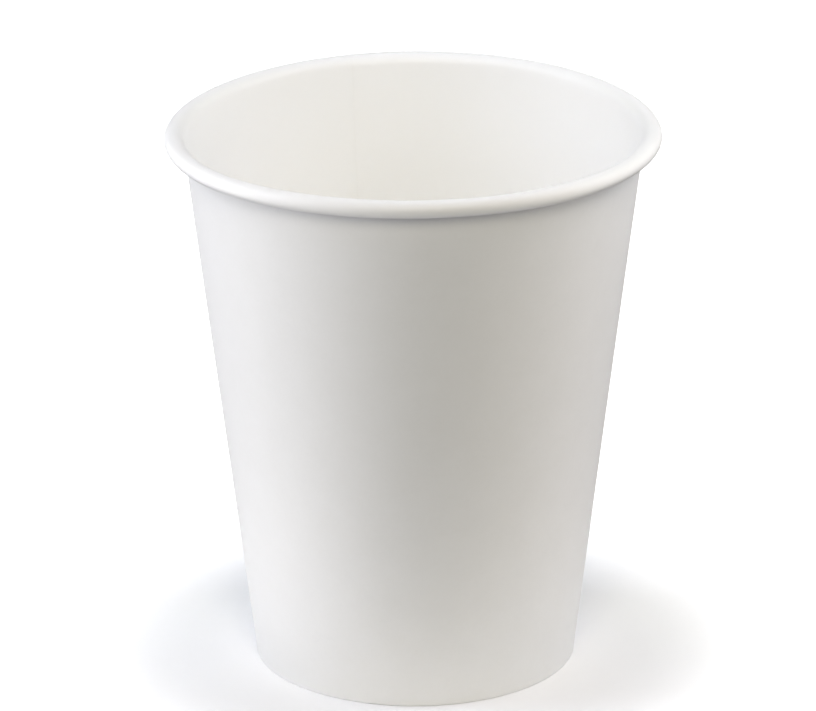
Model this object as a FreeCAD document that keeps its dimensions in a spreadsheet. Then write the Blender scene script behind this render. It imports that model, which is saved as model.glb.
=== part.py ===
import FreeCAD, Part
import Sketcher
import math
import os

# Paper hot cup, single wall, 80 mm rim, about 8 fl oz (240 ml).
#
# Frame: +Z up, origin in the middle of the circle the cup stands on, millimetres.
# The side seam is at the back, at a bearing of about 100 degrees from +X towards +Y.
#
# Two pieces of paperboard:
#   sidewall   one wrapped blank: rim curl, conical wall, bottom fold and hem are the same sheet
#   base_disc  one disc with its edge turned down into a skirt, clamped between wall and hem

os.makedirs("parts", exist_ok=True)
doc = FreeCAD.newDocument("PaperCup")

# ---------------------------------------------------------------- driving dimensions
DIMENSIONS = [
    ("Height", 90.1, "standing plane to the top of the rim"),
    ("RimRadius", 40.0, "outside of the rolled rim"),
    ("FootRadius", 26.12, "outside of the wall, its line run down to the standing plane"),
    ("ThroatRadius", 37.27, "outside of the wall, its line run up to the top of the rim"),
    ("Board", 0.36, "sheet of the side wall, lined board of about 280 g per square metre"),
    ("BottomBoard", 0.32, "sheet of the bottom disc"),
    ("Film", 0.02, "melted lining between two sealed faces"),
    ("CurlTop", 1.80, "radius of the curl where it leaves the wall, on its lined face"),
    ("CurlSwitch", 70.0, "bearing in degrees at which the curl tightens"),
    ("CurlEnd", 135.0, "bearing in degrees below horizontal at which the tail leaves the curl"),
    ("CurlTail", 0.80, "straight tail of the curl, tucked against the wall"),
    ("FoldRadius", 0.34, "outside corners of the bottom fold"),
    ("HemTop", 5.7, "free edge of the hem above the standing plane"),
    ("DiscUnderside", 6.2, "underside of the bottom above the standing plane"),
    ("DiscBend", 0.57, "outside radius of the bend from disc to skirt"),
    ("SkirtFoot", 0.78, "free edge of the skirt above the standing plane"),
    ("SeamBearing", 99.75, "middle of the side seam in degrees from +X towards +Y"),
    ("SeamSpan", 12.5, "overlap of the side seam in degrees, 7 mm at mid height"),
    ("StepBearing", 106.6, "middle in degrees of the little valley beside the inner edge"),
    ("StepSpan", 0.9, "width of that valley in degrees"),
    ("StepDepth", 0.10, "depth of that valley"),
    ("StepFoot", 7.4, "lower end of that valley"),
]

sheet = doc.addObject("Spreadsheet::Sheet", "Dimensions")
sheet.Label = "Dimensions"
for row, (alias, number, words) in enumerate(DIMENSIONS, start=1):
    sheet.set("A%d" % row, alias)
    sheet.set("B%d" % row, "%g" % number)
    sheet.setAlias("B%d" % row, alias)
    sheet.set("C%d" % row, words)
doc.recompute()


class Size:
    """A size that carries its number and the cell formula that drives it."""

    def __init__(self, number, formula):
        self.number = float(number)
        self.formula = formula

    @staticmethod
    def of(other):
        return other if isinstance(other, Size) else Size(other, "%.12g" % other)

    def __add__(self, other):
        o = Size.of(other)
        return Size(self.number + o.number, "(%s + %s)" % (self.formula, o.formula))

    def __sub__(self, other):
        o = Size.of(other)
        return Size(self.number - o.number, "(%s - %s)" % (self.formula, o.formula))

    def __mul__(self, other):
        o = Size.of(other)
        return Size(self.number * o.number, "(%s * %s)" % (self.formula, o.formula))

    def __truediv__(self, other):
        o = Size.of(other)
        return Size(self.number / o.number, "(%s / %s)" % (self.formula, o.formula))

    __radd__ = __add__
    __rmul__ = __mul__

    def __rsub__(self, other):
        return Size.of(other) - self

    def __neg__(self):
        return Size.of(0) - self


def cell(alias):
    return Size(getattr(sheet, alias), "Dimensions." + alias)


def root(size):
    return Size(math.sqrt(size.number), "sqrt(%s)" % size.formula)


def cosine(size):
    return Size(math.cos(math.radians(size.number)), "cos(%s * 1 deg)" % size.formula)


def sine(size):
    return Size(math.sin(math.radians(size.number)), "sin(%s * 1 deg)" % size.formula)


height = cell("Height")
rim = cell("RimRadius")
foot = cell("FootRadius")
board = cell("Board")
bottom_board = cell("BottomBoard")
film = cell("Film")
fold = cell("FoldRadius")
hem_top = cell("HemTop")
slope = (cell("ThroatRadius") - foot) / height
slant = root(1 + slope * slope)


def face(depth, z):
    """Radius at height z of the face lying `depth` inside the wall's outer face."""
    return foot + slope * z - depth * slant


# ---------------------------------------------------------------- sketch helper
def section(body, name, outline, bearing=None):
    """A closed section in the plane of the axis. outline is a list of
    (x, z, radius, centre x, centre z, clockwise): the edge that leaves the corner
    (x, z) is straight if radius is None, or else an arc about the given centre."""
    sketch = body.newObject("Sketcher::SketchObject", name)
    plane = [f for f in body.Origin.OriginFeatures if f.Role == "XZ_Plane"][0]
    sketch.AttachmentSupport = [(plane, "")]
    sketch.MapMode = "FlatFace"
    if bearing is not None:
        sketch.AttachmentOffset = FreeCAD.Placement(
            FreeCAD.Vector(0, 0, 0),
            FreeCAD.Rotation(FreeCAD.Vector(0, 1, 0), bearing.number),
        )
        sketch.setExpression(
            "AttachmentOffset.Rotation.Angle", "%s * 1 deg" % bearing.formula
        )
    count = len(outline)
    ends = []
    for i, (x, z, radius, cx, cz, clockwise) in enumerate(outline):
        nx, nz = outline[(i + 1) % count][:2]
        a = FreeCAD.Vector(x.number, z.number, 0)
        b = FreeCAD.Vector(nx.number, nz.number, 0)
        if radius is None:
            sketch.addGeometry(Part.LineSegment(a, b), False)
            ends.append((1, 2))
        else:
            first, last = (b, a) if clockwise else (a, b)
            start = math.atan2(first.y - cz.number, first.x - cx.number)
            stop = math.atan2(last.y - cz.number, last.x - cx.number)
            while stop <= start:
                stop += 2 * math.pi
            circle = Part.Circle(
                FreeCAD.Vector(cx.number, cz.number, 0),
                FreeCAD.Vector(0, 0, 1),
                radius.number,
            )
            sketch.addGeometry(Part.ArcOfCircle(circle, start, stop), False)
            ends.append((2, 1) if clockwise else (1, 2))
    for i in range(count):
        j = (i + 1) % count
        sketch.addConstraint(
            Sketcher.Constraint("Coincident", i, ends[i][1], j, ends[j][0])
        )
    for i, (x, z, radius, cx, cz, clockwise) in enumerate(outline):
        at = sketch.addConstraint(
            Sketcher.Constraint("DistanceX", -1, 1, i, ends[i][0], x.number)
        )
        sketch.setExpression("Constraints[%d]" % at, x.formula)
        if abs(z.number) < 1e-9:
            sketch.addConstraint(Sketcher.Constraint("PointOnObject", i, ends[i][0], -1))
        else:
            at = sketch.addConstraint(
                Sketcher.Constraint("DistanceY", -1, 1, i, ends[i][0], z.number)
            )
            sketch.setExpression("Constraints[%d]" % at, z.formula)
        if radius is not None:
            at = sketch.addConstraint(Sketcher.Constraint("Radius", i, radius.number))
            sketch.setExpression("Constraints[%d]" % at, radius.formula)
    return sketch


def turned(body, kind, name, sketch, span=None):
    """Revolve a section about the cup's axis, all round or over span degrees
    to both sides of the section's own plane."""
    feature = body.newObject(kind, name)
    feature.Profile = sketch
    feature.ReferenceAxis = (sketch, ["V_Axis"])
    if span is None:
        feature.Angle = 360.0
    else:
        feature.Midplane = True
        feature.Angle = span.number
        feature.setExpression("Angle", span.formula)
    sketch.Visibility = False
    return feature


# ---------------------------------------------------------------- the curl
curl_top = cell("CurlTop")
turn_c, turn_s = cosine(cell("CurlSwitch")), sine(cell("CurlSwitch"))
end_c, end_s = cosine(cell("CurlEnd")), sine(cell("CurlEnd"))
tail = cell("CurlTail")
# first centre: the lined face runs off the wall into the curl without a corner
c1_z = height - curl_top
c1_x = face(board, c1_z) + curl_top * slant
# second radius: the tighter part just reaches the outside of the rim
curl_side = (rim - c1_x - curl_top * turn_c) / (1 - turn_c)
c2_x = c1_x + (curl_top - curl_side) * turn_c
c2_z = c1_z + (curl_top - curl_side) * turn_s


def folded_sheet(outer, inner, tucked):
    """Outline of the wrapped sheet between two faces: `outer` and `inner` are their
    depths inside the wall's unlined outer face (0 and the board for the sheet itself).
    It runs from the hem's free edge round the fold, up the wall and over the curl,
    to the end of the tail if it is tucked, or else to the end of the arc."""
    pack = board + film + bottom_board + film  # wall, film, skirt, film: the hem starts here
    hem_far = pack + board - outer             # hem face towards the middle of the cup
    hem_near = pack + board - inner            # hem face towards the skirt
    arc_in = fold
    out = []
    # hem, face towards the middle, going down
    out.append((face(hem_far, hem_top), hem_top, None, None, None, None))
    ci_x, ci_z = face(hem_far, fold) + fold * slant, fold
    out.append((ci_x - arc_in / slant, ci_z + arc_in * slope / slant, arc_in, ci_x, ci_z, False))
    out.append((ci_x, Size(0, "0"), None, None, None, None))
    # standing ring, then up the outside of the wall
    co_x, co_z = face(outer, fold) - fold * slant, fold
    out.append((co_x, Size(0, "0"), fold, co_x, co_z, False))
    out.append((co_x + fold / slant, co_z - fold * slope / slant, None, None, None, None))
    # inside of the curl (the unlined face), over the top and round
    ra, rb = curl_top - board + outer, curl_side - board + outer
    out.append((c1_x - ra / slant, c1_z + ra * slope / slant, ra, c1_x, c1_z, True))
    out.append((c1_x + ra * turn_c, c1_z + ra * turn_s, rb, c2_x, c2_z, True))
    out.append((c2_x + rb, c2_z, rb, c2_x, c2_z, True))
    out.append((c2_x + rb * end_c, c2_z - rb * end_s, None, None, None, None))
    if tucked:
        out.append((c2_x + rb * end_c - tail * end_s, c2_z - rb * end_s - tail * end_c, None, None, None, None))
    # cut edge, then back over the outside of the curl (the lined face)
    ra, rb = curl_top - board + inner, curl_side - board + inner
    if tucked:
        out.append((c2_x + rb * end_c - tail * end_s, c2_z - rb * end_s - tail * end_c, None, None, None, None))
    out.append((c2_x + rb * end_c, c2_z - rb * end_s, rb, c2_x, c2_z, False))
    out.append((c2_x + rb, c2_z, rb, c2_x, c2_z, False))
    out.append((c1_x + ra * turn_c, c1_z + ra * turn_s, ra, c1_x, c1_z, False))
    out.append((c1_x - ra / slant, c1_z + ra * slope / slant, None, None, None, None))
    # down the inside of the wall, across the floor of the fold, up the hem
    out.append((face(inner, inner), inner, None, None, None, None))
    out.append((face(hem_near, inner), inner, None, None, None, None))
    out.append((face(hem_near, hem_top), hem_top, None, None, None, None))
    return out


# ---------------------------------------------------------------- side wall
sidewall = doc.addObject("PartDesign::Body", "Sidewall")
sidewall.Label = "sidewall"
sidewall.Placement = FreeCAD.Placement()

sheet_sketch = section(sidewall, "SheetSection", folded_sheet(Size(0, "0"), board, True))
sheet_turn = turned(sidewall, "PartDesign::Revolution", "WrappedSheet", sheet_sketch)
doc.recompute()
one_layer = sheet_turn.Shape.Volume

# the blank's two straight ends overlap at the back: a second layer outside the first,
# followed round the fold, up the hem and into the curl
lap_sketch = section(
    sidewall, "LapSection", folded_sheet(-board, board / 2, False), cell("SeamBearing")
)
lap_turn = turned(
    sidewall, "PartDesign::Revolution", "SeamLap", lap_sketch, cell("SeamSpan")
)
doc.recompute()
with_lap = lap_turn.Shape.Volume

# the lined face is flush on both sides of the inner edge, with a fine valley beside it
depth = cell("StepDepth")
low = cell("StepFoot")
over = board + 0.6
step_sketch = section(
    sidewall,
    "StepSection",
    [
        (face(board - depth, low), low, None, None, None, None),
        (face(board - depth, c1_z), c1_z, None, None, None, None),
        (face(over, c1_z), c1_z, None, None, None, None),
        (face(over, low), low, None, None, None, None),
    ],
    cell("StepBearing"),
)
step_cut = turned(sidewall, "PartDesign::Groove", "SeamStep", step_sketch, cell("StepSpan"))
sidewall.Tip = step_cut
doc.recompute()
with_step = step_cut.Shape.Volume

# ---------------------------------------------------------------- bottom disc
base = doc.addObject("PartDesign::Body", "BaseDisc")
base.Label = "base_disc"
base.Placement = FreeCAD.Placement()

under = cell("DiscUnderside")
bend = cell("DiscBend")
skirt_foot = cell("SkirtFoot")
skirt_out = board + film                 # depth of the skirt's outer face
skirt_in = skirt_out + bottom_board      # and of its inner face
top = under + bottom_board
bend_z = top - bend
bend_x = face(skirt_out, bend_z) - bend * slant
tight = bend - bottom_board
axis_x = Size(0, "0")

# the disc's own section runs from the axis out to the bend and down the skirt
disc_outline = [
    (axis_x, top, None, None, None, None),
    (bend_x, top, bend, bend_x, bend_z, True),
    (bend_x + bend / slant, bend_z - bend * slope / slant, None, None, None, None),
    (face(skirt_out, skirt_foot), skirt_foot, None, None, None, None),
    (face(skirt_in, skirt_foot), skirt_foot, None, None, None, None),
    (bend_x + tight / slant, bend_z - tight * slope / slant, tight, bend_x, bend_z, False),
    (bend_x, under, None, None, None, None),
    (axis_x, under, None, None, None, None),
]
disc_sketch = section(base, "DiscSection", disc_outline)
disc_turn = turned(base, "PartDesign::Revolution", "SkirtedDisc", disc_sketch)
base.Tip = disc_turn
doc.recompute()

# ---------------------------------------------------------------- checks, then the files
if not with_lap > one_layer * 1.01:
    raise SystemExit("the seam lap added nothing: %.3f to %.3f" % (one_layer, with_lap))
if not with_step < with_lap - 0.5:
    raise SystemExit("the seam step cut nothing: %.3f to %.3f" % (with_lap, with_step))

for sketch in (sheet_sketch, lap_sketch, step_sketch, disc_sketch):
    if sketch.solve() != 0 or not sketch.FullyConstrained:
        raise SystemExit("%s isn't fully constrained" % sketch.Name)

bad = [o.Name for o in doc.Objects if "Invalid" in o.State or "Error" in o.State]
if bad:
    raise SystemExit("failed objects: %s" % bad)

for part in (sidewall, base):
    shape = part.Shape
    if shape.isNull() or not shape.isValid() or len(shape.Solids) != 1:
        raise SystemExit("%s is not one valid solid" % part.Label)
    box = shape.BoundBox
    print(
        "%-10s volume %.1f mm3  x %.3f %.3f  y %.3f %.3f  z %.3f %.3f"
        % (part.Label, shape.Volume, box.XMin, box.XMax, box.YMin, box.YMax, box.ZMin, box.ZMax)
    )
    shape.exportStep("parts/%s.step" % part.Label)

print("curl radii %.3f %.3f" % (curl_top.number, curl_side.number))
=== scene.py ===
import bpy
import math
import numpy as np
from mathutils import Matrix, Vector


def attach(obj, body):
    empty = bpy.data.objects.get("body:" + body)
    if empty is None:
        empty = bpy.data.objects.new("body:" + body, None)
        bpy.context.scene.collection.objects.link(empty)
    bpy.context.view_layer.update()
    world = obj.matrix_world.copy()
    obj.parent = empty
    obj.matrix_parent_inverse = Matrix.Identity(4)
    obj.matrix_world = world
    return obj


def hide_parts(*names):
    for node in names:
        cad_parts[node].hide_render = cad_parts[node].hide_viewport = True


# A plain white paper cup: one wrapped sheet (rolled rim, wall, bottom fold and hem) and one
# skirted disc clamped in its foot. Both are built as real sheets with their cut edges, their
# overlap and their small irregularities. Sizes below are millimetres; meshes are metres.

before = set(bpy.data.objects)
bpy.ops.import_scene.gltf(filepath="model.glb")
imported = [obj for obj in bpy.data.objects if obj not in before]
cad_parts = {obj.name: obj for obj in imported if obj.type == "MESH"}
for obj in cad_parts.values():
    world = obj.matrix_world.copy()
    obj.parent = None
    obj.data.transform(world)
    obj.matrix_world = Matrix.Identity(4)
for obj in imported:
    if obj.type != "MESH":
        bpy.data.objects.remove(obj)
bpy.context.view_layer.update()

MM = 0.001

# ------------------------------------------------------------------ sizes, as in the CAD part
HEIGHT = 90.1
RIM = 40.0
FOOT = 26.12
THROAT = 37.27
BOARD = 0.36
BOTTOM_BOARD = 0.32
FILM = 0.02
CURL_TOP = 1.80
CURL_SWITCH = math.radians(70.0)
CURL_END = math.radians(135.0)
CURL_TAIL = 0.80
FOLD = 0.20
HEM_TOP = 5.7
DISC_UNDER = 6.2
DISC_BEND = 0.57
SKIRT_FOOT = 0.78
SEAM_OUT = 93.5      # bearing of the outer layer's free edge, degrees from +X towards +Y
SEAM_IN = 106.0      # bearing of the inner layer's free edge
SEAM_EASE = 6.0      # degrees over which the outer layer comes down to the wall again

slope = (THROAT - FOOT) / HEIGHT
slant = math.hypot(1.0, slope)
ca, sa = 1.0 / slant, slope / slant          # the wall's outward normal is (ca, -sa)
pack = BOARD + FILM + BOTTOM_BOARD + FILM    # depth of the hem's lined face


def face(depth, z):
    return FOOT + slope * z - depth * slant


c1z = HEIGHT - CURL_TOP
c1x = face(BOARD, c1z) + CURL_TOP * slant
CURL_SIDE = (RIM - c1x - CURL_TOP * math.cos(CURL_SWITCH)) / (1 - math.cos(CURL_SWITCH))
c2x = c1x + (CURL_TOP - CURL_SIDE) * math.cos(CURL_SWITCH)
c2z = c1z + (CURL_TOP - CURL_SIDE) * math.sin(CURL_SWITCH)


# ------------------------------------------------------------------ small helpers
def smooth(t):
    t = np.clip(t, 0.0, 1.0)
    return t * t * (3 - 2 * t)


def bump_of(x, low, high, ease):
    """1 between low and high, easing to 0 over ease outside them."""
    return smooth((x - (low - ease)) / ease) * smooth(((high + ease) - x) / ease)


def waves(u, seed, orders, amplitude):
    """A gentle closed wave round the cup, from a few harmonics."""
    rng = np.random.default_rng(seed)
    out = np.zeros_like(u)
    for n in orders:
        out += rng.normal() / math.sqrt(n) * np.cos(n * u + rng.uniform(0, 2 * math.pi))
    return amplitude * out / math.sqrt(sum(1.0 / n for n in orders))


# ------------------------------------------------------------------ the wrapped sheet's section
# Stations run from the hem's free edge, round the fold, up the wall and over the curl.
# Each has a point on the lined face, a point on the bare face, how far it is along the
# sheet, and how much of a second layer it carries where the ends overlap.
lined, bare, layer, zone = [], [], [], []


def station(l, p, w=1.0, where=0):
    lined.append(l)
    bare.append(p)
    layer.append(w)
    zone.append(where)


# hem (zone 1)
for z in (HEM_TOP, 5.55, 5.2, 4.6, 3.9, 3.2, 2.5, 1.8, 1.2, 0.8):
    station((face(pack, z), z), (face(pack + BOARD, z), z), smooth((z - 0.4) / 2.2), 1)
# inner corner of the fold (zone 2)
soft = 0.07
cix = face(pack + BOARD, FOLD) + FOLD * slant
lx = face(pack, BOARD + soft) + soft * slant
for k in range(7):
    a = math.radians(180.0) - math.atan(slope) + (math.radians(90.0) + math.atan(slope)) * k / 6
    station(
        (lx + soft * math.cos(a), BOARD + soft + soft * math.sin(a)),
        (cix + FOLD * math.cos(a), FOLD + FOLD * math.sin(a)),
        0.0, 2,
    )
# floor of the fold
cox = face(0.0, FOLD) - FOLD * slant
rx = face(BOARD, BOARD + soft) - soft * slant
for k in (1, 2):
    t = k / 3.0
    station((lx + (rx - lx) * t, BOARD), (cix + (cox - cix) * t, 0.0), 0.0, 2)
# outer corner of the fold
for k in range(7):
    a = math.radians(270.0) + (math.radians(90.0) - math.atan(slope)) * k / 6
    station(
        (rx + soft * math.cos(a), BOARD + soft + soft * math.sin(a)),
        (cox + FOLD * math.cos(a), FOLD + FOLD * math.sin(a)),
        0.0, 2,
    )
# wall (zone 3)
wall_low = 0.62
top_z = c1z + (CURL_TOP - BOARD) * sa
heights = np.concatenate([
    np.array([0.62, 0.9, 1.3, 1.8, 2.4, 3.2, 4.2, 5.2, 6.0, 6.6, 7.2, 8.2]),
    np.linspace(10.0, 80.0, 29),
    np.array([82.0, 83.6, 84.9, 85.9, 86.7, 87.4, 88.0]),
])
for z in heights:
    station(
        (face(0.0, z) - BOARD * ca, z + BOARD * sa), (face(0.0, z), z),
        float(smooth((z - 0.5) / 2.2)), 3,
    )
# curl (zone 4): the larger arc off the wall, then the tighter one, then the tucked tail
a0 = math.pi - math.atan(slope)
for k in range(0, 11):
    a = a0 + (CURL_SWITCH - a0) * k / 10
    station(
        (c1x + CURL_TOP * math.cos(a), c1z + CURL_TOP * math.sin(a)),
        (c1x + (CURL_TOP - BOARD) * math.cos(a), c1z + (CURL_TOP - BOARD) * math.sin(a)),
        1.0, 4,
    )
for k in range(1, 19):
    a = CURL_SWITCH + (-CURL_END - CURL_SWITCH) * k / 18
    station(
        (c2x + CURL_SIDE * math.cos(a), c2z + CURL_SIDE * math.sin(a)),
        (c2x + (CURL_SIDE - BOARD) * math.cos(a), c2z + (CURL_SIDE - BOARD) * math.sin(a)),
        1.0, 4,
    )
for k in (1, 2, 3):
    d = CURL_TAIL * k / 3.0
    ex, ez = math.cos(-CURL_END), math.sin(-CURL_END)
    station(
        (c2x + CURL_SIDE * ex + d * ez, c2z + CURL_SIDE * ez - d * ex),
        (c2x + (CURL_SIDE - BOARD) * ex + d * ez, c2z + (CURL_SIDE - BOARD) * ez - d * ex),
        1.0, 5,
    )

lined = np.array(lined)
bare = np.array(bare)
layer = np.array(layer)
zone = np.array(zone)
count_s = len(lined)
middle = (lined + bare) / 2
along = np.concatenate([[0.0], np.cumsum(np.hypot(*np.diff(middle, axis=0).T))])

# ------------------------------------------------------------------ the sheet wound round the cup
# Bearings run from the outer free edge, all the way round, to the inner free edge.
turns = np.concatenate([
    np.linspace(SEAM_OUT, SEAM_IN - 0.3, 15),
    [SEAM_IN],
    np.linspace(SEAM_IN + 0.3, SEAM_IN + SEAM_EASE, 16),
    np.linspace(SEAM_IN + SEAM_EASE, SEAM_OUT + 360 - 2.5, 404)[1:],
    np.linspace(SEAM_OUT + 360 - 2.5, SEAM_OUT + 360 + 0.2, 8)[1:],
    np.linspace(SEAM_OUT + 360 + 0.2, SEAM_IN + 360, 15)[1:],
])
count_u = len(turns)
u = np.radians(turns)

PRESSED = 0.90   # a heat-sealed layer is pressed a little thinner
SKIVED = 0.08    # and the edge inside the cup is pressed thinner still


def layer_span():
    """Where the sheet's lined and bare faces lie, in board thicknesses out from the
    plain lined face, for each bearing (rows) and station (columns)."""
    t = turns[:, None]
    w = layer[None, :]
    pressed = 0.5 + (PRESSED - 0.5) * w
    edge = 0.5 + (SKIVED - 0.5) * w
    # the inner layer: pressed where it is covered, thinnest at its own free edge
    lap = np.where(t > 180, t - 360, t)
    under = pressed + (edge - pressed) * smooth((lap - (SEAM_IN - 2.2)) / 2.2)
    inner_hi = 1.0 + (under - 1.0) * smooth((lap - (SEAM_OUT - 2.3)) / 2.3)
    # the outer layer: over the inner one, then eased down to the wall past its edge
    over = under + 0.02
    ease = smooth((t - SEAM_IN) / SEAM_EASE)
    own = pressed + (0.72 - 0.90) * w * (1 - smooth((t - SEAM_OUT) / 0.9))
    outer_lo = np.where(t <= SEAM_IN, over, over * (1 - ease))
    outer_hi = outer_lo + np.where(t <= SEAM_IN, own, pressed + (1 - pressed) * ease)
    near = t < 180
    lo = np.where(near, outer_lo, 0.0)
    hi = np.where(near, outer_hi, np.where(t > 300, inner_hi, 1.0))
    return lo, hi


# The seam is sealed under a flat bar, so the cup is a little flat across it.
FLAT_AT, FLAT_HALF = (SEAM_OUT + SEAM_IN) / 2, 6.9


def flat_bar(bearing):
    """Share of the radius that the flat takes off at these bearings (degrees)."""
    fine = np.arange(-20.0, 20.01, 0.1)
    d = np.clip(1 - math.cos(math.radians(FLAT_HALF)) / np.cos(np.radians(fine)), 0, None)
    kernel = np.exp(-0.5 * (np.arange(-2.4, 2.41, 0.1) / 0.8) ** 2)
    d = np.convolve(np.pad(d, 24, mode="edge"), kernel / kernel.sum(), mode="valid")
    off = (bearing - FLAT_AT + 180) % 360 - 180
    return np.interp(off, fine, d, left=0.0, right=0.0)


def flat_share(z):
    """The bar bears hardest on the plain wall, less on the roll and on the clamped foot."""
    return (0.35 + 0.65 * smooth((z - 6.0) / 8.0)) * (1 - 0.45 * smooth((z - 84.0) / 5.0))


lo, hi = layer_span()
offset = bare - lined
grid_l = lined[None, :, :] + offset[None, :, :] * lo[:, :, None]
grid_b = lined[None, :, :] + offset[None, :, :] * hi[:, :, None]

# the tucked tail is shorter where two layers are rolled together
double = bump_of((turns + 180) % 360 - 180, SEAM_OUT, SEAM_IN, 4.0)
tails = zone == 5
root_l = grid_l[:, np.where(zone == 4)[0][-1]][:, None, :]
root_b = grid_b[:, np.where(zone == 4)[0][-1]][:, None, :]
short = (1.0 - 0.72 * double)[:, None, None]
grid_l[:, tails] = root_l + (grid_l[:, tails] - root_l) * short
grid_b[:, tails] = root_b + (grid_b[:, tails] - root_b) * short

# the roll stands a trifle fuller over the overlap, and is never quite even
curl_w = np.where(zone >= 4, 1.0, 0.0)
fuller = 0.05 * double + waves(u, 11, (5, 7, 9, 13, 17, 23), 0.018)
centre = np.array([c2x, c2z])
for g in (grid_l, grid_b):
    arm = g - centre
    reach = np.hypot(arm[:, :, 0], arm[:, :, 1])[:, :, None]
    blend = smooth((g[:, :, 0] - (c1x - CURL_TOP + 0.2)) / 1.6)[:, :, None] * curl_w[None, :, None]
    g += arm / reach * fuller[:, None, None] * blend

# faces to points in space, with the shape the rim has taken in the hand and the machine
def place(g):
    r, z = g[:, :, 0], g[:, :, 1]
    share = np.clip(z / HEIGHT, 0, 1.05)
    rim_rise = 0.222 * np.cos(u) - 0.267 * np.cos(2 * u) + waves(u, 5, (3, 4, 5, 7), 0.03)
    z = z + rim_rise[:, None] * share ** 2.2
    body = (
        waves(u, 21, (2, 3, 4, 5, 6), 0.045)[:, None] * np.sin(np.pi * share ** 0.8)
        + waves(u, 22, (5, 6, 7, 9, 11), 0.022)[:, None] * np.sin(2 * np.pi * share)
        + waves(u, 23, (8, 11, 14, 17), 0.012)[:, None] * np.sin(3 * np.pi * share + 0.7)
        + waves(u, 24, (3, 5, 8), 0.03)[:, None] * smooth((share - 0.7) / 0.3)
    )
    body = body - 0.13 * np.cos(u)[:, None] * smooth((share - 0.93) / 0.05)
    r = r + body * smooth(share / 0.12)
    r = r * (1 - flat_bar(turns)[:, None] * flat_share(g[:, :, 1]))
    # the foot is pressed against the disc's skirt from outside, which leaves a faint step
    press = -0.028 * smooth((7.0 - z) / 1.0) * smooth((z - 0.6) / 0.5)
    r = r + press * (g[:, :, 0] > face(BOARD + FILM * 0.9, g[:, :, 1]))
    x = r * np.cos(u)[:, None]
    y = r * np.sin(u)[:, None]
    return np.stack([x, y, z], axis=-1)


pts_l = place(grid_l)
pts_b = place(grid_b)


# ------------------------------------------------------------------ sheet mesh
def sheet_mesh(name, a, b, s, row_u, closed):
    """A closed skin from two faces of a sheet: a (lined) and b (bare), each rows by stations.
    closed joins the last row to the first; otherwise the two free edges get their own strips.
    Returns the mesh with a material index per face and one bake map."""
    nu, ns = a.shape[:2]
    verts = np.concatenate([a.reshape(-1, 3), b.reshape(-1, 3)]) * MM
    ia = np.arange(nu * ns).reshape(nu, ns)
    ib = ia + nu * ns
    quads, mats, uvs = [], [], []
    s = s / s[-1]
    ru = (row_u - row_u[0]) / (row_u[-1] - row_u[0]) if not closed else row_u
    rows = range(nu) if closed else range(nu - 1)

    def put(corners, mat, uv):
        quads.append(corners)
        mats.append(mat)
        uvs.append(uv)

    for i in rows:
        j = (i + 1) % nu
        u0, u1 = (ru[i], ru[i + 1])
        u0, u1 = 0.01 + 0.98 * u0, 0.01 + 0.98 * u1
        for k in range(ns - 1):
            v0, v1 = s[k], s[k + 1]
            p0, p1 = 0.015 + 0.455 * v0, 0.015 + 0.455 * v1
            put((ia[i, k], ia[i, k + 1], ia[j, k + 1], ia[j, k]), 0,
                ((u0, p0), (u0, p1), (u1, p1), (u1, p0)))
            q0, q1 = 0.485 + 0.455 * v0, 0.485 + 0.455 * v1
            put((ib[i, k], ib[j, k], ib[j, k + 1], ib[i, k + 1]), 1,
                ((u0, q0), (u1, q0), (u1, q1), (u0, q1)))
        # the cut edges that run round the cup: hem's edge and the edge in the curl
        put((ia[i, 0], ia[j, 0], ib[j, 0], ib[i, 0]), 2,
            ((u0, 0.950), (u1, 0.950), (u1, 0.960), (u0, 0.960)))
        put((ia[i, -1], ib[i, -1], ib[j, -1], ia[j, -1]), 2,
            ((u0, 0.966), (u0, 0.976), (u1, 0.976), (u1, 0.966)))
    if not closed:
        for k in range(ns - 1):
            v0, v1 = 0.01 + 0.48 * s[k], 0.01 + 0.48 * s[k + 1]
            put((ia[0, k], ib[0, k], ib[0, k + 1], ia[0, k + 1]), 2,
                ((v0, 0.982), (v0, 0.994), (v1, 0.994), (v1, 0.982)))
            w0, w1 = v0 + 0.5, v1 + 0.5
            put((ia[-1, k], ia[-1, k + 1], ib[-1, k + 1], ib[-1, k]), 2,
                ((w0, 0.982), (w1, 0.982), (w1, 0.994), (w0, 0.994)))
    mesh = bpy.data.meshes.new(name)
    quads = np.array(quads, dtype=np.int32)
    mesh.vertices.add(len(verts))
    mesh.vertices.foreach_set("co", verts.astype(np.float32).ravel())
    mesh.loops.add(quads.size)
    mesh.loops.foreach_set("vertex_index", quads.ravel())
    mesh.polygons.add(len(quads))
    mesh.polygons.foreach_set("loop_start", np.arange(len(quads), dtype=np.int32) * 4)
    mesh.polygons.foreach_set("material_index", np.array(mats, dtype=np.int32))
    uv = mesh.uv_layers.new(name="OFBake")
    uv.data.foreach_set("uv", np.array(uvs, dtype=np.float32).ravel())
    mesh.update(calc_edges=True)
    mesh.validate()
    mesh.polygons.foreach_set("use_smooth", np.ones(len(mesh.polygons), dtype=bool))
    mesh.set_sharp_from_angle(angle=math.radians(50))
    return mesh


def add(name, mesh, node, materials):
    obj = bpy.data.objects.new(name, mesh)
    bpy.context.scene.collection.objects.link(obj)
    for m in materials:
        mesh.materials.append(m)
    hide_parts(node)
    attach(obj, "root")
    return obj


def mark(mesh, name, values):
    layer_ = mesh.attributes.new(name, "FLOAT", "POINT")
    layer_.data.foreach_set("value", np.asarray(values, dtype=np.float32).ravel())


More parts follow.
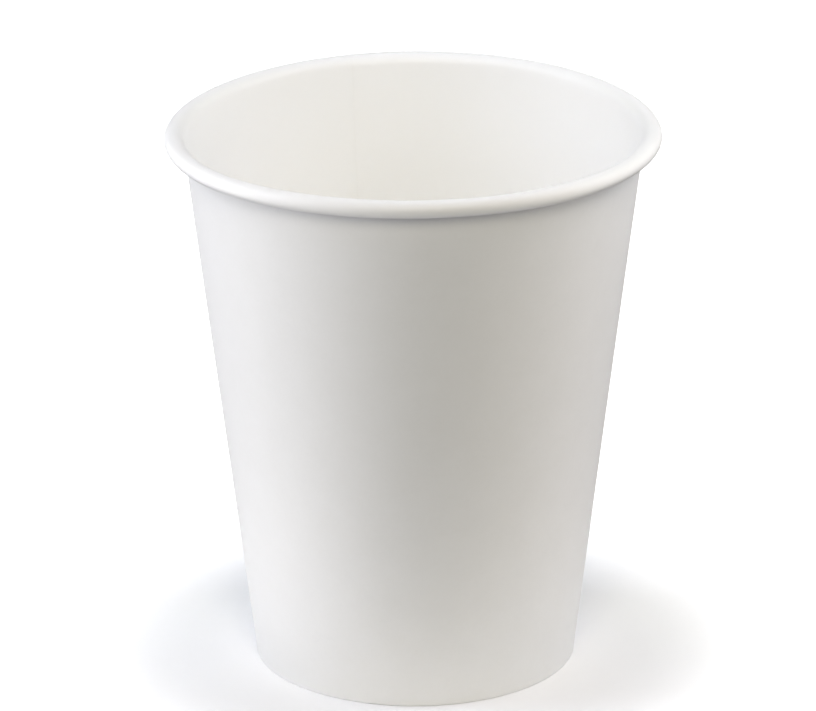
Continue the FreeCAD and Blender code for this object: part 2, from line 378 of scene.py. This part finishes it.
# ------------------------------------------------------------------ materials
def nodes_of(name):
    mat = bpy.data.materials.new(name)
    mat.use_nodes = True
    nt = mat.node_tree
    nt.nodes.clear()
    out = nt.nodes.new("ShaderNodeOutputMaterial")
    bsdf = nt.nodes.new("ShaderNodeBsdfPrincipled")
    nt.links.new(bsdf.outputs["BSDF"], out.inputs["Surface"])
    return mat, nt, bsdf


def noise(nt, vector, scale, detail=3.0, rough=0.55, stretch=(1, 1, 1)):
    mapping = nt.nodes.new("ShaderNodeMapping")
    mapping.inputs["Scale"].default_value = stretch
    nt.links.new(vector, mapping.inputs["Vector"])
    n = nt.nodes.new("ShaderNodeTexNoise")
    n.inputs["Scale"].default_value = scale
    n.inputs["Detail"].default_value = detail
    n.inputs["Roughness"].default_value = rough
    nt.links.new(mapping.outputs["Vector"], n.inputs["Vector"])
    return n.outputs["Fac"]


def remap(nt, value, low, high, out_low, out_high):
    n = nt.nodes.new("ShaderNodeMapRange")
    n.inputs["From Min"].default_value = low
    n.inputs["From Max"].default_value = high
    n.inputs["To Min"].default_value = out_low
    n.inputs["To Max"].default_value = out_high
    nt.links.new(value, n.inputs["Value"])
    return n.outputs["Result"]


def math_node(nt, op, a, b):
    n = nt.nodes.new("ShaderNodeMath")
    n.operation = op
    for i, x in enumerate((a, b)):
        if isinstance(x, (int, float)):
            n.inputs[i].default_value = x
        else:
            nt.links.new(x, n.inputs[i])
    return n.outputs["Value"]


def tint(nt, fac, one, two):
    n = nt.nodes.new("ShaderNodeMix")
    n.data_type = "RGBA"
    n.inputs["A"].default_value = (*one, 1)
    n.inputs["B"].default_value = (*two, 1)
    nt.links.new(fac, n.inputs["Factor"])
    return n.outputs["Result"]


def bumped(nt, bsdf, height, distance, strength=1.0):
    b = nt.nodes.new("ShaderNodeBump")
    b.inputs["Strength"].default_value = strength
    b.inputs["Distance"].default_value = distance
    nt.links.new(height, b.inputs["Height"])
    nt.links.new(b.outputs["Normal"], bsdf.inputs["Normal"])


def object_vector(nt):
    return nt.nodes.new("ShaderNodeTexCoord").outputs["Object"]


def bare_paper():
    """The outside: smooth uncoated board, a felt of short fibres, faintly cloudy."""
    mat, nt, bsdf = nodes_of("paper_outside")
    v = object_vector(nt)
    cloud = noise(nt, v, 150.0, 4.0, 0.6)
    felt = noise(nt, v, 1500.0, 4.0, 0.6)
    fibre = noise(nt, v, 2600.0, 3.0, 0.5, (1.0, 1.0, 0.35))
    fac = math_node(nt, "ADD", math_node(nt, "MULTIPLY", cloud, 0.6), math_node(nt, "MULTIPLY", felt, 0.4))
    colour = tint(nt, remap(nt, fac, 0.35, 0.65, 0.0, 1.0), (0.862, 0.858, 0.842), (0.880, 0.877, 0.863))
    nt.links.new(colour, bsdf.inputs["Base Color"])
    nt.links.new(remap(nt, fac, 0.3, 0.7, 0.66, 0.54), bsdf.inputs["Roughness"])
    bsdf.inputs["Specular IOR Level"].default_value = 0.28
    height = math_node(nt, "ADD", math_node(nt, "MULTIPLY", felt, 0.6), math_node(nt, "MULTIPLY", fibre, 0.4))
    height = math_node(nt, "ADD", height, math_node(nt, "MULTIPLY", cloud, 1.2))
    bumped(nt, bsdf, height, 0.000012)
    return mat


def lined_paper():
    """The inside and the rolled rim: the same board under a thin clear lining."""
    mat, nt, bsdf = nodes_of("paper_lined")
    v = object_vector(nt)
    cloud = noise(nt, v, 130.0, 4.0, 0.6)
    felt = noise(nt, v, 1100.0, 3.0, 0.5)
    colour = tint(nt, remap(nt, cloud, 0.35, 0.65, 0.0, 1.0), (0.950, 0.945, 0.929), (0.962, 0.958, 0.943))
    nt.links.new(colour, bsdf.inputs["Base Color"])
    fac = math_node(nt, "ADD", math_node(nt, "MULTIPLY", cloud, 0.5), math_node(nt, "MULTIPLY", felt, 0.5))
    nt.links.new(remap(nt, fac, 0.3, 0.7, 0.50, 0.38), bsdf.inputs["Roughness"])
    bsdf.inputs["Specular IOR Level"].default_value = 0.42
    height = math_node(nt, "ADD", felt, math_node(nt, "MULTIPLY", cloud, 1.5))
    bumped(nt, bsdf, height, 0.000010)
    return mat


def cut_edge():
    """Cut board: open grey-cream fibres in thin plies."""
    mat, nt, bsdf = nodes_of("paper_cut_edge")
    v = object_vector(nt)
    torn = noise(nt, v, 4200.0, 5.0, 0.7)
    ply = noise(nt, v, 900.0, 3.0, 0.6, (1.0, 1.0, 4.0))
    fac = math_node(nt, "ADD", math_node(nt, "MULTIPLY", torn, 0.6), math_node(nt, "MULTIPLY", ply, 0.4))
    colour = tint(nt, remap(nt, fac, 0.35, 0.65, 0.0, 1.0), (0.74, 0.72, 0.66), (0.86, 0.845, 0.80))
    nt.links.new(colour, bsdf.inputs["Base Color"])
    nt.links.new(remap(nt, fac, 0.3, 0.7, 0.95, 0.8), bsdf.inputs["Roughness"])
    bsdf.inputs["Specular IOR Level"].default_value = 0.15
    bumped(nt, bsdf, fac, 0.00005)
    return mat


MAT_BARE = bare_paper()
MAT_LINED = lined_paper()
MAT_CUT = cut_edge()

wall_mesh = sheet_mesh("sidewall_sheet", pts_l, pts_b, along, turns, False)
wall = add("sidewall_sheet", wall_mesh, "sidewall", [MAT_LINED, MAT_BARE, MAT_CUT])

# ------------------------------------------------------------------ the bottom disc
# Its lined face is up and, on the skirt, outward. Stations run from the middle out to the
# bend and down the skirt. The skirt of a flat disc has to gather, so it is finely pleated.
top_of_disc = DISC_UNDER + BOTTOM_BOARD
# the clamped skirt is pressed a little thinner and stops short of the fold
SKIRT_PRESS = 0.035
skirt_out = BOARD + FILM + SKIRT_PRESS
bz = top_of_disc - DISC_BEND
bx = face(skirt_out, bz) - DISC_BEND * slant
tight = DISC_BEND - BOTTOM_BOARD
d_l, d_b, d_pleat = [], [], []
for r in np.concatenate([[0.02, 0.6], np.linspace(1.6, bx - 1.2, 21), [bx - 0.6, bx - 0.25]]):
    d_l.append((r, top_of_disc))
    d_b.append((r, DISC_UNDER))
    d_pleat.append(0.0)
steps = 9
turn = math.pi / 2 + math.atan(slope)
for k in range(steps + 1):
    a = math.pi / 2 - turn * k / steps
    d_l.append((bx + DISC_BEND * math.cos(a), bz + DISC_BEND * math.sin(a)))
    d_b.append((bx + tight * math.cos(a), bz + tight * math.sin(a)))
    d_pleat.append(math.sin(math.pi * k / steps) ** 2)
for z in np.linspace(bz - 0.25, SKIRT_FOOT + 0.35, 8):
    d_l.append((face(skirt_out, z), z))
    d_b.append((face(skirt_out + BOTTOM_BOARD - 2 * SKIRT_PRESS, z), z))
    d_pleat.append(0.0)
d_l, d_b, d_pleat = np.array(d_l), np.array(d_b), np.array(d_pleat)
d_mid = (d_l + d_b) / 2
d_along = np.concatenate([[0.0], np.cumsum(np.hypot(*np.diff(d_mid, axis=0).T))])
n_round = 540
ud = np.linspace(0, 2 * math.pi, n_round, endpoint=False)


def place_disc(g, lift):
    r = np.repeat(g[None, :, 0], n_round, axis=0)
    z = np.repeat(g[None, :, 1], n_round, axis=0)
    # pleats at the bend, and a disc that is never quite flat
    wrinkle = 0.5 * np.cos(90 * ud) + waves(ud, 31, (37, 53, 61, 71, 83), 0.6)
    z = z + (0.022 * wrinkle)[:, None] * d_pleat[None, :]
    r = r - 0.012 * (1 + wrinkle)[:, None] * d_pleat[None, :]
    inside = smooth((bx - 0.5 - r) / 3.0)
    sag = -0.16 * smooth(1 - r / bx) + 0.05 * np.cos(2 * ud + 0.6)[:, None] * (r / bx) ** 2 * inside
    ring = -0.05 * np.exp(-((r - (bx - 1.6)) / 0.7) ** 2)
    r = r * (1 - flat_bar(np.degrees(ud))[:, None] * 0.35 * smooth((r - bx + 1.5) / 1.5))
    z = z + sag * inside + ring
    return np.stack([r * np.cos(ud)[:, None], r * np.sin(ud)[:, None], z], axis=-1)


def disc_mesh(name, a, b, s):
    """The disc's closed skin: two faces that meet at the skirt's cut edge, each closed by a
    small fan at the middle."""
    nu, ns = a.shape[:2]
    mid_a, mid_b = a[:, 0].mean(axis=0), b[:, 0].mean(axis=0)
    verts = np.concatenate([a.reshape(-1, 3), b.reshape(-1, 3), [mid_a], [mid_b]]) * MM
    ia = np.arange(nu * ns).reshape(nu, ns)
    ib = ia + nu * ns
    ca_, cb_ = 2 * nu * ns, 2 * nu * ns + 1
    flat = s[: ns - 8]
    loops, sizes, mats, uvs = [], [], [], []
    far = s[-1]

    def at(which, radius, angle):
        cx = 0.25 if which == 0 else 0.75
        return (cx + 0.24 * radius / far * math.cos(angle), 0.26 + 0.24 * radius / far * math.sin(angle))

    for i in range(nu):
        j = (i + 1) % nu
        t0, t1 = ud[i], ud[i] + 2 * math.pi / nu
        loops += [ca_, ia[i, 0], ia[j, 0]]
        sizes.append(3); mats.append(0)
        uvs += [at(0, 0, 0), at(0, s[0] + 0.02, t0), at(0, s[0] + 0.02, t1)]
        loops += [cb_, ib[j, 0], ib[i, 0]]
        sizes.append(3); mats.append(1)
        uvs += [at(1, 0, 0), at(1, s[0] + 0.02, t1), at(1, s[0] + 0.02, t0)]
        for k in range(ns - 1):
            r0, r1 = s[k] + 0.02, s[k + 1] + 0.02
            loops += [ia[i, k], ia[i, k + 1], ia[j, k + 1], ia[j, k]]
            sizes.append(4); mats.append(0)
            uvs += [at(0, r0, t0), at(0, r1, t0), at(0, r1, t1), at(0, r0, t1)]
            loops += [ib[i, k], ib[j, k], ib[j, k + 1], ib[i, k + 1]]
            sizes.append(4); mats.append(1)
            uvs += [at(1, r0, t0), at(1, r0, t1), at(1, r1, t1), at(1, r1, t0)]
        loops += [ia[i, -1], ib[i, -1], ib[j, -1], ia[j, -1]]
        sizes.append(4); mats.append(2)
        x0, x1 = 0.01 + 0.98 * i / nu, 0.01 + 0.98 * (i + 1) / nu
        uvs += [(x0, 0.55), (x0, 0.56), (x1, 0.56), (x1, 0.55)]
    mesh = bpy.data.meshes.new(name)
    mesh.vertices.add(len(verts))
    mesh.vertices.foreach_set("co", verts.astype(np.float32).ravel())
    mesh.loops.add(len(loops))
    mesh.loops.foreach_set("vertex_index", np.array(loops, dtype=np.int32))
    mesh.polygons.add(len(sizes))
    starts = np.concatenate([[0], np.cumsum(sizes)[:-1]]).astype(np.int32)
    mesh.polygons.foreach_set("loop_start", starts)
    mesh.polygons.foreach_set("material_index", np.array(mats, dtype=np.int32))
    uv = mesh.uv_layers.new(name="OFBake")
    uv.data.foreach_set("uv", np.array(uvs, dtype=np.float32).ravel())
    mesh.update(calc_edges=True)
    mesh.validate()
    mesh.polygons.foreach_set("use_smooth", np.ones(len(mesh.polygons), dtype=bool))
    mesh.set_sharp_from_angle(angle=math.radians(50))
    return mesh


disc = add(
    "base_disc_sheet",
    disc_mesh("base_disc_sheet", place_disc(d_l, 0), place_disc(d_b, 0), d_along),
    "base_disc", [MAT_LINED, MAT_BARE, MAT_CUT],
)

# ------------------------------------------------------------------ floor, light, camera
FLOOR_SOLID, FLOOR_GONE = 0.034, 0.084
# a plain round white table top whose far parts melt into the white backdrop
floor_mesh = bpy.data.meshes.new("floor")
ring = [(0.16 * math.cos(t), 0.16 * math.sin(t), 0.0) for t in np.linspace(0, 2 * math.pi, 96, endpoint=False)]
floor_mesh.from_pydata(ring, [], [list(range(96))])
floor = bpy.data.objects.new("floor", floor_mesh)
floor.location.z = -0.00002
bpy.context.scene.collection.objects.link(floor)
mat, nt, bsdf = nodes_of("floor_white")
v = object_vector(nt)
grain = noise(nt, v, 900.0, 3.0, 0.6)
pale = tint(nt, grain, (0.950, 0.958, 0.985), (0.970, 0.976, 0.995))
reach = nt.nodes.new("ShaderNodeVectorMath")
reach.operation = "LENGTH"
nt.links.new(v, reach.inputs[0])
nt.links.new(pale, bsdf.inputs["Base Color"])
bsdf.inputs["Roughness"].default_value = 0.9
bsdf.inputs["Specular IOR Level"].default_value = 0.1
fade = nt.nodes.new("ShaderNodeMapRange")
fade.interpolation_type = "SMOOTHSTEP"
fade.inputs["From Min"].default_value = FLOOR_SOLID
fade.inputs["From Max"].default_value = FLOOR_GONE
nt.links.new(reach.outputs["Value"], fade.inputs["Value"])
blend = nt.nodes.new("ShaderNodeMixShader")
clear = nt.nodes.new("ShaderNodeBsdfTransparent")
nt.links.new(fade.outputs["Result"], blend.inputs["Fac"])
nt.links.new(bsdf.outputs["BSDF"], blend.inputs[1])
nt.links.new(clear.outputs["BSDF"], blend.inputs[2])
nt.links.new(blend.outputs["Shader"], nt.nodes["Material Output"].inputs["Surface"])
floor_mesh.materials.append(mat)


def softbox(name, bearing, elevation, distance, size, power, colour=(1, 1, 1), aim=(0, 0, 0.045)):
    """A square area light. bearing 0 is the camera's side, 90 the right, 180 the back."""
    lamp = bpy.data.lights.new(name, "AREA")
    lamp.shape = "RECTANGLE"
    lamp.size, lamp.size_y = size
    lamp.energy = power
    lamp.color = colour
    obj = bpy.data.objects.new(name, lamp)
    b, e = math.radians(bearing), math.radians(elevation)
    way = Vector((math.sin(b) * math.cos(e), -math.cos(b) * math.cos(e), math.sin(e)))
    obj.location = Vector(aim) + way * distance
    obj.rotation_mode = "QUATERNION"
    obj.rotation_quaternion = way.to_track_quat("Z", "Y")
    obj.visible_camera = False
    bpy.context.scene.collection.objects.link(obj)
    return obj


# name, bearing, elevation, distance, size, power and tint; the table ones stand for the light
# that a wide white table top would throw up
for lamp in (
    ("front", 0, 36, 0.90, 0.38, 3.080, (1.000, 0.948, 0.786)),
    ("right_close", 90, 45, 0.20, 0.10, 0.096, (0.875, 0.958, 1.000)),
    ("right_near", 90, 30, 0.35, 0.20, 0.190, (0.737, 0.816, 1.000)),
    ("right_level", 90, 0, 0.90, 0.50, 0.790, (0.886, 0.924, 1.000)),
    ("right_back", 112, 0, 0.90, 0.50, 0.360, (1.000, 1.000, 1.000)),
    ("left_near", 270, 30, 0.35, 0.20, 0.325, (0.738, 0.815, 1.000)),
    ("left_front", 300, 30, 0.35, 0.20, 0.150, (0.840, 0.860, 1.000)),
    ("right_high", 90, 50, 0.35, 0.20, 0.117, (1.000, 0.530, 0.385)),
    ("left_high", 270, 50, 0.35, 0.20, 0.240, (1.000, 0.950, 1.000)),
    ("back_high", 180, 70, 0.35, 0.20, 0.101, (0.208, 0.594, 1.000)),
    ("back_right", 135, 25, 0.90, 0.50, 1.000, (1.000, 0.990, 0.820)),
    ("back", 180, 25, 0.90, 0.50, 0.440, (1.000, 0.932, 0.875)),
    ("back_left", 225, 25, 0.90, 0.50, 0.720, (1.000, 0.903, 0.417)),
    ("table_front", 0, -20, 0.90, 0.50, 0.550, (1.000, 1.000, 0.982)),
    ("table_right", 90, -20, 0.90, 0.50, 1.500, (1.000, 0.893, 0.787)),
    ("table_left", 270, -20, 0.90, 0.50, 2.900, (1.000, 0.948, 0.810)),
    ("left_level", 270, 0, 0.90, 0.50, 1.270, (0.921, 0.929, 1.000)),
    ("table_left_front", 300, -20, 0.90, 0.50, 0.665, (0.403, 0.516, 1.000)),
):
    name, bearing, elevation, distance, size, power, colour = lamp
    softbox(name, bearing, elevation, distance, (size, size), power, colour, (0, 0, 0.05))

AMBIENT = 0.066
world = bpy.data.worlds.new("studio")
bpy.context.scene.world = world
world.use_nodes = True
backdrop = world.node_tree.nodes["Background"]
backdrop.inputs["Color"].default_value = (1.0, 1.0, 1.0, 1)
# the white backdrop is seen far brighter than the little light that it adds
path = world.node_tree.nodes.new("ShaderNodeLightPath")
level = world.node_tree.nodes.new("ShaderNodeMapRange")
level.inputs["To Min"].default_value = AMBIENT
level.inputs["To Max"].default_value = 1.8
world.node_tree.links.new(path.outputs["Is Camera Ray"], level.inputs["Value"])
world.node_tree.links.new(level.outputs["Result"], backdrop.inputs["Strength"])

cam_data = bpy.data.cameras.new("camera")
cam_data.sensor_fit = "HORIZONTAL"
cam_data.sensor_width = 36.0
cam_data.lens = 6571.0 / 816.0 * 36.0
cam_data.clip_start = 0.05
cam_data.clip_end = 50.0
cam = bpy.data.objects.new("camera", cam_data)
bpy.context.scene.collection.objects.link(cam)
tilt = math.radians(20.14)
roll = math.radians(-0.193)
away = 1.0682
side = -0.00106
look = Vector((side, 0.0, 0.05076))
back = Vector((0.0, -math.cos(tilt), math.sin(tilt)))
right = Vector((1.0, 0.0, 0.0))
up = back.cross(right)
right_r = right * math.cos(roll) + up * math.sin(roll)
up_r = up * math.cos(roll) - right * math.sin(roll)
where = look + back * away
cam.matrix_world = Matrix((
    (right_r.x, up_r.x, back.x, where.x),
    (right_r.y, up_r.y, back.y, where.y),
    (right_r.z, up_r.z, back.z, where.z),
    (0, 0, 0, 1),
))
bpy.context.scene.camera = cam

view = bpy.context.scene.view_settings
view.view_transform = "Standard"
view.look = "None"
view.exposure = 0.0
view.gamma = 1.0
